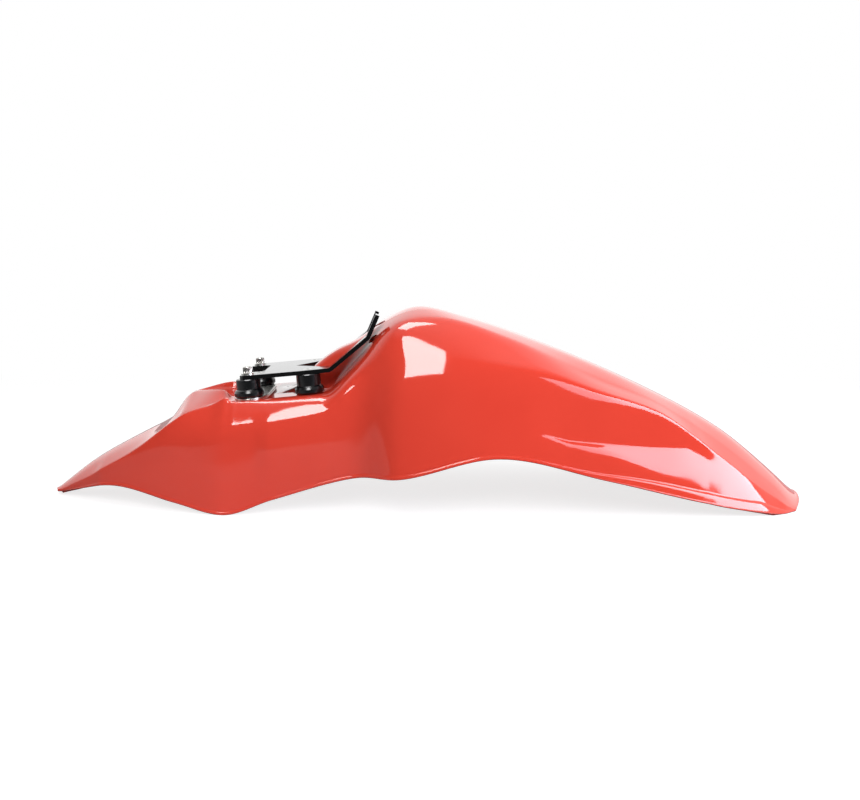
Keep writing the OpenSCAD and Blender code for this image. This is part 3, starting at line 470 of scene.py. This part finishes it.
foot_z = [
    [tail_x(0.34), tail_h(0.76)], [pocket_lead, tail_h(0.84)], [pocket_tip, tail_h(0.895)],
    [ridge_end, deck_z(ridge_end)], [deck_back, deck_z(deck_back)],
    [seat_x(0.2), deck_z(seat_x(0.2))], [seat_x(0.4), deck_z(seat_x(0.4))],
    [deck_front - 6, deck_z(deck_front - 6)], [deck_front, deck_z(deck_front)],
    [arm_x(0.45), arm_h(0.236)], [arm_x(0.725), arm_h(0.5)], [arm_x(0.873), arm_h(0.63)],
    [arm_x(1), arm_h(0.8)], [crest_x(0.4), rise_h(0.82)], [crest_x(0.71), rise_h(0.895)],
    [-CROWN, rise_h(0.937)]]
relief = [[tail_x(0.34), 0], [tail_x(0.3), 1], [crest_x(0.35), 1], [-CROWN, 0]]
pocket_depth = [[pocket_lead, 0], [pocket_tip, 1], [ridge_end, 1], [deck_back, 0]]
print("pocket from", round(pocket_tip, 1), "to", round(ridge_end, 1), "mm,", POCKET_DEEP, "mm deep")

# %% [markdown]
# ## Softness and fine detail
# A softness of 0.5 is a fully round bend, and 0.1 is a crease that a finger would feel.
# The haunch is a bend between shoulder and crease. It pushes the wall out where the lobes are.
# On the nose's flank a faint break and swell shape the long streak of light.

# %% Softness, haunch, break and lip
shoulder_soft = [
    [tail_x(1), 0.4], [tail_x(0.7), 0.2], [tail_x(0.5), 0.13], [seat_x(0.1), 0.1],
    [seat_x(0.3), 0.2], [deck_front - 8, 0.28], [seat_x(0.8), 0.5], [front_x(1), 0.5]]
ridge_soft = [[arm_x(0.7), 0.5], [arm_x(1), 0.15], [crest_x(0.7), 0.15], [front_x(0.06), 0.5]]
foot_soft = [[seat_x(0.1), 0.3], [seat_x(0.3), 0.06], [deck_front, 0.06], [seat_x(0.93), 0.3]]
crease_soft = [
    [tail_x(1), 0.5], [front_x(0.15), 0.5], [front_x(0.5), 0.2], [front_x(0.8), 0.12], [front_x(1), 0.3]]
haunch_drop = [
    [tail_x(1), 0.5], [tail_x(0.3), 0.45], [tail_x(0), 0.5], [seat_x(0.3), 0.43], [seat_x(0.6), 0.38],
    [seat_x(0.85), 0.24], [crest_x(0.3), 0.5], [front_x(1), 0.5]]
haunch_out = [
    [tail_x(1), 0.5], [tail_x(0.3), 0.8], [tail_x(0), 0.93], [seat_x(0.2), 0.91],
    [seat_x(0.33), 0.8], [seat_x(0.5), 0.82], [seat_x(0.85), 0.78],
    [crest_x(0.3), 0.56], [front_x(0.3), 0.56], [front_x(0.6), 0.52], [front_x(1), 0.5]]
haunch_bump = [[tail_x(0.3), 0], [tail_x(0), LOBE_RISE], [deck_back + 3, 0]]
break_z = [
    [tail_x(1), TAIL_H - 1], [front_x(0.1), 0.45 * CROWN_H], [front_x(0.3), 0.39 * CROWN_H],
    [front_x(0.52), 0.345 * CROWN_H], [front_x(0.68), 0.32 * CROWN_H], [front_x(0.8), 0.16 * CROWN_H],
    [front_x(1), 0.5]]
break_in = [
    [front_x(0.25), 0], [front_x(0.32), 1.2], [front_x(0.42), 1.8], [front_x(0.56), 2.4],
    [front_x(0.66), 1.2], [front_x(0.72), 0]]
swell_share = [[front_x(0.3), 0.15], [front_x(0.42), 0.3], [front_x(0.56), 0.78], [front_x(0.66), 0.9]]
swell_out = [
    [front_x(0.25), 0], [front_x(0.34), 1.3], [front_x(0.42), 1.9], [front_x(0.56), 0.7],
    [front_x(0.68), 0]]
lip_share = [
    [tail_x(1), 0.3], [front_x(0.3), 0.35], [front_x(0.6), 1], [front_x(0.9), 0.8], [front_x(1), 0.05]]
nose_draw = [[front_x(0.68), 0], [front_x(0.85), 0.35], [front_x(1), 1]]
tail_draw = [[tail_x(1), 1], [tail_x(0.9), 0.25], [tail_x(0.7), 0]]
print("the nose is rounded by", NOSE_ROUND, "mm and the tail by", TAIL_ROUND, "mm")

# %% [markdown]
# ## Following a line smoothly
# The curve through the knots has no overshoot, but its bend changes suddenly at each knot,
# and gloss would show that as a kink in a highlight. So each line is also averaged over a few
# millimetres. Around the pocket and the deck the average is short, to keep the edges crisp.


# %% Curves through knots
def follow(knots, x):
    """The curve through the knots at x: a cubic between each two, with no overshoot."""
    k = np.array(knots, float)
    step, width = np.diff(k[:, 1]), np.diff(k[:, 0])
    slope = step / width
    before, after = slope[:-1], slope[1:]
    same_way = before * after > 0
    inner = np.where(same_way, 2 * before * after / np.where(same_way, before + after, 1), 0)
    tangent = np.concatenate([slope[:1], inner, slope[-1:]])
    i = np.clip(np.searchsorted(k[:, 0], x, side="right") - 1, 0, len(k) - 2)
    t = np.clip((x - k[i, 0]) / width[i], 0, 1)
    a, b, s = tangent[i] * width[i], tangent[i + 1] * width[i], step[i]
    return k[i, 1] + t * (a + t * (3 * s - 2 * a - b + t * (a + b - 2 * s)))


def averaged(values, reach):
    """Gaussian average of values that lie 1 mm apart. The ends keep their value and slope."""
    n = int(4 * reach) + 1
    weights = np.exp(-0.5 * (np.arange(-n, n + 1) / reach) ** 2)
    padded = np.pad(values, n, mode="reflect", reflect_type="odd")
    return np.convolve(padded, weights / weights.sum(), mode="valid")


def smooth_step(x, low, high):
    t = np.clip((x - low) / (high - low), 0, 1)
    return t * t * (3 - 2 * t)


EVERY_MM = np.arange(-REAR, FRONT + 0.5, 1.0)
CRISP_MM, CALM_MM = 1.2, 7.0
calm = 1 - smooth_step(EVERY_MM, -262, -245) + smooth_step(EVERY_MM, deck_front + 2, deck_front + 30)
calm *= 1 - smooth_step(EVERY_MM, 335, 362)


def smooth_line(knots, x):
    line = follow(knots, EVERY_MM)
    return np.interp(x, EVERY_MM, mix(averaged(line, CRISP_MM), averaged(line, CALM_MM), calm))


print("crown on the averaged line:", round(float(smooth_line(spine_z, np.array([-CROWN]))[0]), 2), "mm")

# %% [markdown]
# ## The shell's sections
# Each half section has twelve control points: spine, pocket foot, ridge, foot, shoulder, haunch,
# side crease, a faint break and swell below it, the wall just above the lip, the lip, and the edge.
# Every control point has a softness, from a crisp crease to a fully round bend, so that sharp and
# soft stretches share one grid.
# In the names below, s is the spine, p the pocket, r the ridge, f the foot, k the shoulder,
# h the haunch, c the crease, b the break, n the swell, w the wall above the lip, l the lip and
# e the edge. The second letter is the axis.


# %% Control points and softness
def controls(x):
    """The control points of the half sections at x, and how soft each of them is."""
    sz, ey, ez = smooth_line(spine_z, x), smooth_line(edge_y, x), smooth_line(edge_z, x)
    ky, kz = ey * smooth_line(shoulder_share, x), smooth_line(shoulder_z, x)
    cy, cz = ey * smooth_line(crease_share, x), smooth_line(crease_z, x)
    m, d = smooth_line(relief, x), smooth_line(pocket_depth, x)
    ry = np.minimum(smooth_line(ridge_y, x), 0.6 * ky)
    fy = np.minimum(smooth_line(foot_y, x), 0.88 * ky)
    rz = mix(kz + (sz - kz) * (1 - (ry / ky) ** 2), smooth_line(ridge_z, x), m)
    fz = mix(kz + (sz - kz) * (1 - (fy / ky) ** 2), smooth_line(foot_z, x), m)
    py = ry - mix(0.5 * ry, np.minimum(3, 0.5 * ry), d)
    pz = mix(sz + 0.25 * (rz - sz), sz, d)
    lip = smooth_line(lip_share, x)
    below = np.minimum(0.35, LIP_H * lip / np.maximum(1, cz - ez))
    above = np.minimum(0.5, below * 1.22)
    ly, lz = mix(ey, cy, below), mix(ez, cz, below)
    wy, wz = mix(ey, cy, above) - LIP_OUT * np.minimum(1, lip), mix(ez, cz, above)
    low = kz - smooth_line(haunch_bump, x)
    hy = mix(ky, cy, smooth_line(haunch_out, x))
    hz = mix(low, cz, smooth_line(haunch_drop, x))
    ky = ky - (kz - low) * (hy - ky) / np.maximum(low - hz, 1)
    down = np.clip((cz - smooth_line(break_z, x)) / np.maximum(1, cz - wz), 0.3, 0.7)
    by, bz = mix(cy, wy, down) - follow(break_in, x), mix(cz, wz, down)
    swell = np.clip(follow(swell_share, x), 0.1, 0.9)
    ny, nz = mix(by, wy, swell) + follow(swell_out, x), mix(bz, wz, swell)
    sharp = np.clip(follow(break_in, x), 0, 1)
    zero = np.zeros_like(x)
    points = [(zero, sz), (py, pz), (ry, rz), (fy, fz), (ky, kz), (hy, hz), (cy, cz), (by, bz), (ny, nz),
              (wy, wz), (ly, lz), (ey, ez)]
    soft = [zero + 0.5, mix(0.5, 0.25, d), mix(smooth_line(ridge_soft, x), 0.2, d),
            mix(0.5, smooth_line(foot_soft, x), m),
            smooth_line(shoulder_soft, x), zero + 0.5, smooth_line(crease_soft, x), mix(0.5, 0.06, sharp),
            zero + 0.5, zero + 0.3, zero + 0.3, zero]
    return np.array(points).transpose(2, 0, 1), np.array(soft).T


# %% Rounded corners
PER_CORNER = 8
even_steps = np.linspace(-1, 1, PER_CORNER + 1)
corner_steps = 0.5 * np.sign(even_steps) * np.abs(even_steps) ** 1.5


def round_corner(before, point, after, softness, u):
    """The section at u, from -0.5 (halfway to the point before) to 0.5 (halfway to the one after)."""
    s = np.maximum(softness, 0.02)[:, None]
    side = np.where(u < 0, 1.0, 0.0)
    straight = point + np.abs(u) * (side * before + (1 - side) * after - point)
    t = np.clip((u + s) / (2 * s), 0, 1)
    start, end = point + s * (before - point), point + s * (after - point)
    bent = (1 - t) ** 2 * start + 2 * t * (1 - t) * point + t * t * end
    return np.where(np.abs(u) > s, straight, bent)


# %% From control points to sections
def half_sections(x):
    """Points of all half sections at once, as [station, point, (y, z)]."""
    c, soft = controls(x)
    mirrored_first = c[:, 1] * [-1, 1]
    columns = [round_corner(mirrored_first, c[:, 0], c[:, 1], soft[:, 0], u) for u in corner_steps if u >= 0]
    last = c.shape[1] - 1
    for k in range(1, last):
        columns += [round_corner(c[:, k - 1], c[:, k], c[:, k + 1], soft[:, k], u) for u in corner_steps[1:]]
    columns += [mix(c[:, last - 1], c[:, last], t) for t in (0.625, 0.75, 0.875, 1.0)]
    return np.stack(columns, axis=1)


print("points in a half section:", half_sections(np.array([0.0])).shape[1])

# %% [markdown]
# ## The shell's skin
# The stations lie closest where the form changes fastest. The nose and the tail are rounded in
# plan by drawing the ends of their rows back. The inside is the same grid, one wall thickness in,
# and a small round rim joins the two all the way round, as the mould leaves it.
# Near the nose the wall lies so flat that its inside would dip below the floor, so it stops there.

# %% Outside and inside
stations = np.concatenate([
    np.arange(-REAR, -250, 3.4), np.arange(-250, -176, 1.7), np.arange(-176, deck_front - 4, 3.0),
    np.arange(deck_front - 4, -20, 2.2), np.arange(-20, 296, 3.6), np.arange(296, FRONT - 0.5, 2.2), [FRONT]])
half = half_sections(stations)
sign = np.concatenate([-np.ones(half.shape[1] - 1), np.ones(half.shape[1])])
whole = np.concatenate([half[:, :0:-1], half], axis=1)
reach = whole[:, :, 0]
nose_back = NOSE_ROUND * follow(nose_draw, stations)[:, None] * (reach / NOSE_W) ** 1.4
tail_on = TAIL_ROUND * follow(tail_draw, stations)[:, None] * (reach / TAIL_W) ** 2
outside = np.stack([stations[:, None] - nose_back + tail_on, reach * sign, whole[:, :, 1]], axis=2)

along, across = np.gradient(outside, axis=0), np.gradient(outside, axis=1)
normal = np.cross(along, across)
normal /= np.linalg.norm(normal, axis=2, keepdims=True)
for rim in (np.s_[0, :], np.s_[-1, :], np.s_[:, 0], np.s_[:, -1]):
    level = normal[rim] * [1, 1, 0]
    normal[rim] = level / np.linalg.norm(level, axis=1, keepdims=True)
inside = outside - WALL * normal
print("grid:", outside.shape[0], "stations of", outside.shape[1], "points")

# %% Rim and faces
rows, cols = outside.shape[:2]
index = np.arange(rows * cols).reshape(rows, cols)
loop = np.concatenate([index[0, :-1], index[:-1, -1], index[-1, :0:-1], index[:0:-1, 0]])
RIM_ROUND = 0.9
flat_out, flat_in = outside.reshape(-1, 3).copy(), inside.reshape(-1, 3).copy()
flat_out[loop, 2] += RIM_ROUND
flat_in[loop, 2] = flat_out[loop, 2]
rim_angles = np.linspace(0, math.pi, 6)[1:-1]
middle, spread = (flat_out[loop] + flat_in[loop]) / 2, (flat_out[loop] - flat_in[loop]) / 2
rings = [middle + spread * math.cos(a) - [0, 0, RIM_ROUND * math.sin(a)] for a in rim_angles]

quads = np.stack([index[:-1, :-1], index[1:, :-1], index[1:, 1:], index[:-1, 1:]], axis=2).reshape(-1, 4)
n = rows * cols
chain = [loop] + [2 * n + i * len(loop) + np.arange(len(loop)) for i in range(len(rings))] + [n + loop]
rim_quads = [np.stack([a, b, np.roll(b, -1), np.roll(a, -1)], axis=1) for a, b in zip(chain, chain[1:])]
faces = np.concatenate([quads, quads[:, ::-1] + n] + rim_quads)
print("shell:", len(faces), "faces, of which", sum(len(r) for r in rim_quads), "on the rim")

# %% Shell object
shell_mesh = bpy.data.meshes.new("dressed_shell")
skin = np.concatenate([flat_out, flat_in] + rings)
skin[:, 2] = np.maximum(skin[:, 2], 0)
shell_mesh.from_pydata(skin * MM, [], faces.tolist())
shell_mesh.materials.append(gloss_red)
shell_mesh.materials.append(satin_red)
inner_face = np.zeros(len(faces), int)
inner_face[len(quads):2 * len(quads)] = 1
shell_mesh.polygons.foreach_set("material_index", inner_face)
shell_mesh.polygons.foreach_set("use_smooth", np.ones(len(faces), bool))
shell_mesh.update()
shell = bpy.data.objects.new("dressed_shell", shell_mesh)
scene.collection.objects.link(shell)
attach(shell, "root")
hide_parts("mudguard_shell")
print("shell:", np.ptp(skin, axis=0).round(1).tolist(), "mm")

# %% [markdown]
# ## Softened edges
# Nothing real has a perfectly sharp edge, and on black metal the worn-in edge is what shows.
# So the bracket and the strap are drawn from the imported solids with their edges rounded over.
# The large faces keep their own flat shading, and only the narrow roundings blend between them.


# %% Bracket and strap with rounded edges
def rounded_copy(name, radius, finish):
    """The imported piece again, with flat faces joined and its sharp edges rounded over."""
    source = frame["nodes"][name]
    mesh = source.data.copy()
    mesh.name = name + "_rounded"
    shape = bmesh.new()
    shape.from_mesh(mesh)
    bmesh.ops.remove_doubles(shape, verts=shape.verts, dist=0.02 * MM)
    bmesh.ops.dissolve_limit(shape, angle_limit=math.radians(1.5), verts=shape.verts, edges=shape.edges)
    sharp = [e for e in shape.edges if len(e.link_faces) == 2 and e.calc_face_angle(0) > math.radians(40)]
    bmesh.ops.bevel(shape, geom=sharp, offset=radius, segments=3, profile=0.5, affect="EDGES",
                    clamp_overlap=True)
    for face in shape.faces:
        face.smooth = True
    for edge in shape.edges:
        edge.smooth = len(edge.link_faces) == 2 and edge.calc_face_angle(0) < math.radians(38)
    shape.to_mesh(mesh)
    shape.free()
    mesh.materials.clear()
    mesh.materials.append(finish)
    piece = bpy.data.objects.new(name + "_rounded", mesh)
    scene.collection.objects.link(piece)
    piece.matrix_world = source.matrix_world.copy()
    flat_shading = piece.modifiers.new("flat_shading", "WEIGHTED_NORMAL")
    flat_shading.keep_sharp = True
    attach(piece, "root")
    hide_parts(name)
    return piece


for name, radius, finish, slot in (
        ("mounting_bracket", 0.6 * MM, powder_black, "black_coated_steel"),
        ("rear_strap", 0.3 * MM, zinc, "zinc_plated_steel")):
    piece = rounded_copy(name, radius, finish)
    print(piece.name, len(piece.data.polygons), "faces")

# %% [markdown]
# ## Knurled socket screws
# The two rear screws show their heads, so each is turned again with a knurled rim and a hexagon
# socket. A turned part is a list of rings, and each ring may be round, knurled or six-sided.
# The sizes are those of an M5 cap screw, and the place is the deck's, which slopes by 5 degrees.


# %% Rings and turned pieces
RIDGES, AROUND, KNURL_DEEP = 32, 192, 0.4
ring_angles = np.linspace(0, 2 * math.pi, AROUND, endpoint=False)


def ring(radius, height, form="round"):
    """One ring of points round the screw's axis, in millimetres."""
    size = np.full(AROUND, float(radius))
    if form == "knurled":
        size -= KNURL_DEEP * np.abs(np.cos(RIDGES * ring_angles / 2)) ** 3
    if form == "hexagon":
        size = radius / np.cos((ring_angles % (math.pi / 3)) - math.pi / 6)
    level = np.full(AROUND, float(height))
    return np.stack([size * np.cos(ring_angles), size * np.sin(ring_angles), level], axis=1)


def turned(name, rings, place, finish, smooth_angle):
    """A closed turned piece through the rings, from its lowest ring to its last."""
    points = np.concatenate(rings)
    spin = np.arange(AROUND)
    faces = [np.stack([k * AROUND + spin, k * AROUND + np.roll(spin, -1),
                       (k + 1) * AROUND + np.roll(spin, -1), (k + 1) * AROUND + spin], axis=1).tolist()
             for k in range(len(rings) - 1)]
    faces = sum(faces, []) + [spin[::-1].tolist(), ((len(rings) - 1) * AROUND + spin).tolist()]
    mesh = bpy.data.meshes.new(name)
    mesh.from_pydata(points * MM, [], faces)
    mesh.materials.append(finish)
    mesh.shade_smooth()
    mesh.set_sharp_from_angle(angle=smooth_angle)
    piece = bpy.data.objects.new(name, mesh)
    scene.collection.objects.link(piece)
    piece.matrix_world = place
    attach(piece, "root")
    return piece


# %% Both rear screws
SEAT_H, HEAD_H, HEAD_R, SHANK_R, SCREW_END, SOCKET_R = 24.2, 6.0, 4.25, 2.5, -10.8, 1.5
TOP = SEAT_H + HEAD_H
screw_rings = [
    ring(SHANK_R - 0.4, SCREW_END), ring(SHANK_R, SCREW_END + 0.4), ring(SHANK_R, SEAT_H),
    ring(HEAD_R - 0.25, SEAT_H), ring(HEAD_R, SEAT_H + 0.25), ring(HEAD_R, SEAT_H + 0.45, "knurled"),
    ring(HEAD_R, TOP - 0.9, "knurled"), ring(HEAD_R - 0.1, TOP - 0.6), ring(HEAD_R - 0.6, TOP),
    ring(SOCKET_R * 1.3, TOP), ring(SOCKET_R, TOP - 0.25, "hexagon"), ring(SOCKET_R, TOP - 2.0, "hexagon"),
    ring(0.3, TOP - 2.3)]
deck_place = Matrix.Translation(Vector((-REAR_MOUNT, 0, DECK_H)) * MM) @ Matrix.Rotation(-TILT, 4, "Y")
for side, name in ((1, "socket_screw_left"), (-1, "socket_screw_right")):
    place = deck_place @ Matrix.Translation(Vector((0, side * MOUNT_GAP, 0)) * MM)
    piece = turned(name + "_turned", screw_rings, place, stainless, math.radians(40))
    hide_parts(name)
print("screw rings:", len(screw_rings), "of", AROUND, "points")

# %% [markdown]
# ## The pieces that stay as packed
# Mounts, sleeves, washers, nuts and flush screws are plain turned or moulded pieces.
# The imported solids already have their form, so they only get a finish.

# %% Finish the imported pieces
finishes = {"rubber_mount": nitrile_black, "sleeve": zinc, "top_washer": zinc, "under_washer": zinc,
            "nut": zinc, "flat_screw": stainless}
finished = []
for name, piece in frame["nodes"].items():
    for start, finish in finishes.items():
        if name.startswith(start):
            piece.data.materials.clear()
            piece.data.materials.append(finish)
            finished.append(name)
print("finished", len(finished), "of", len(frame["nodes"]), "packed pieces, the others are drawn again")
